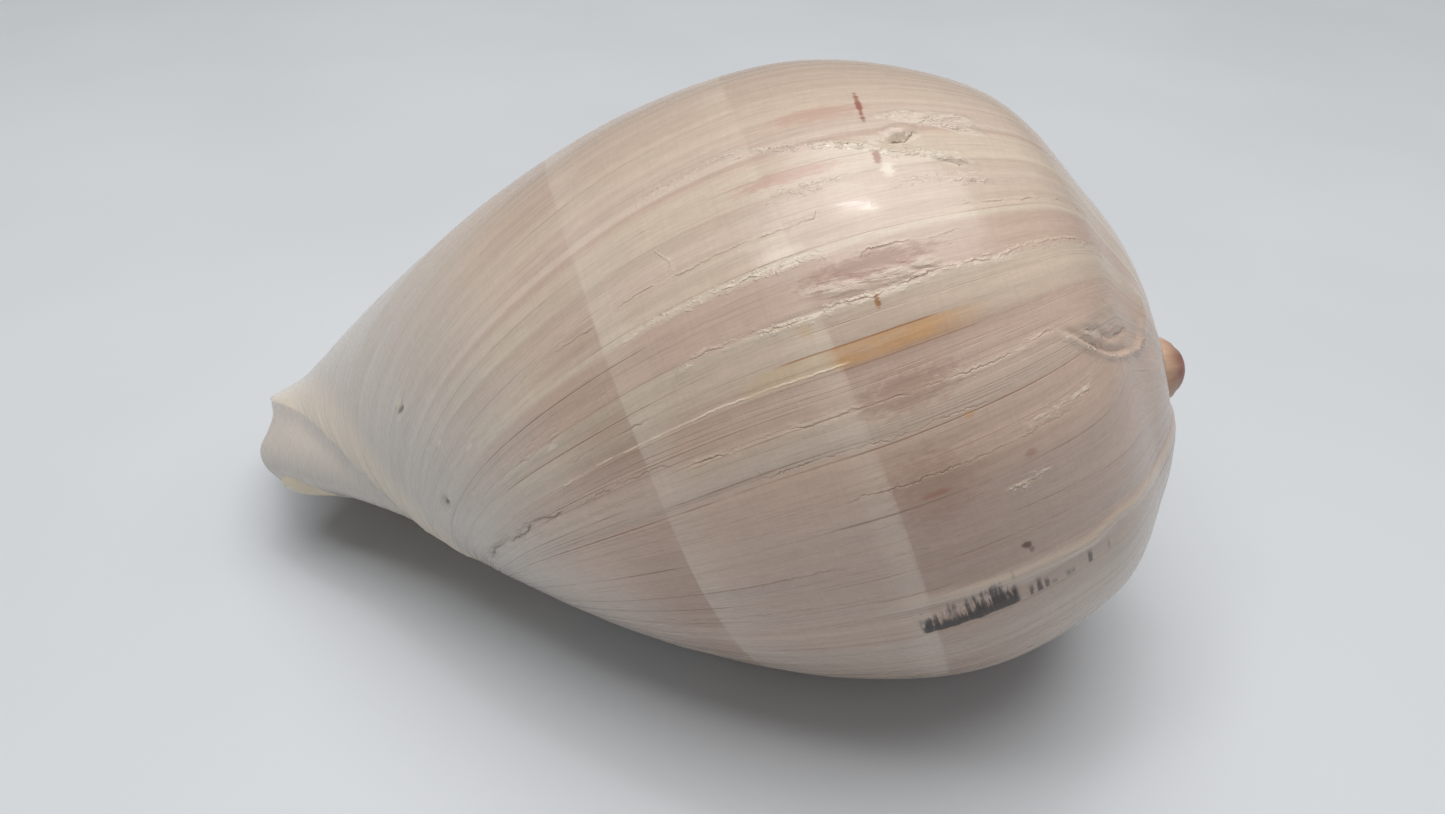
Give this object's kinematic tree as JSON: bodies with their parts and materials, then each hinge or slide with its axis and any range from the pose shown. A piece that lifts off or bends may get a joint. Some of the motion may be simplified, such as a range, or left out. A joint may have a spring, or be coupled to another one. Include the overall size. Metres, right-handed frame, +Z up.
{
  "type": "melon shell",
  "caption": "Large smooth egg-shaped sea-snail shell with a wide mouth, a twisted folded pillar, a notched front end and a small rounded first whorl, lying mouth down.",
  "frame": {"origin": "under the middle of the shell's box, on the surface that it rests on", "axes": "+X from the notched front end to the apex, +Y towards the outer lip, +Z up"},
  "size_m": [0.1974, 0.1426, 0.1099],
  "materials": {
    "shell": "satin, cream and grey-beige with pinkish brown patches, two faint pale bands and growth lines"
  },
  "bodies": {
    "root": {"melon_shell": "shell"}
  },
  "joints": []
}
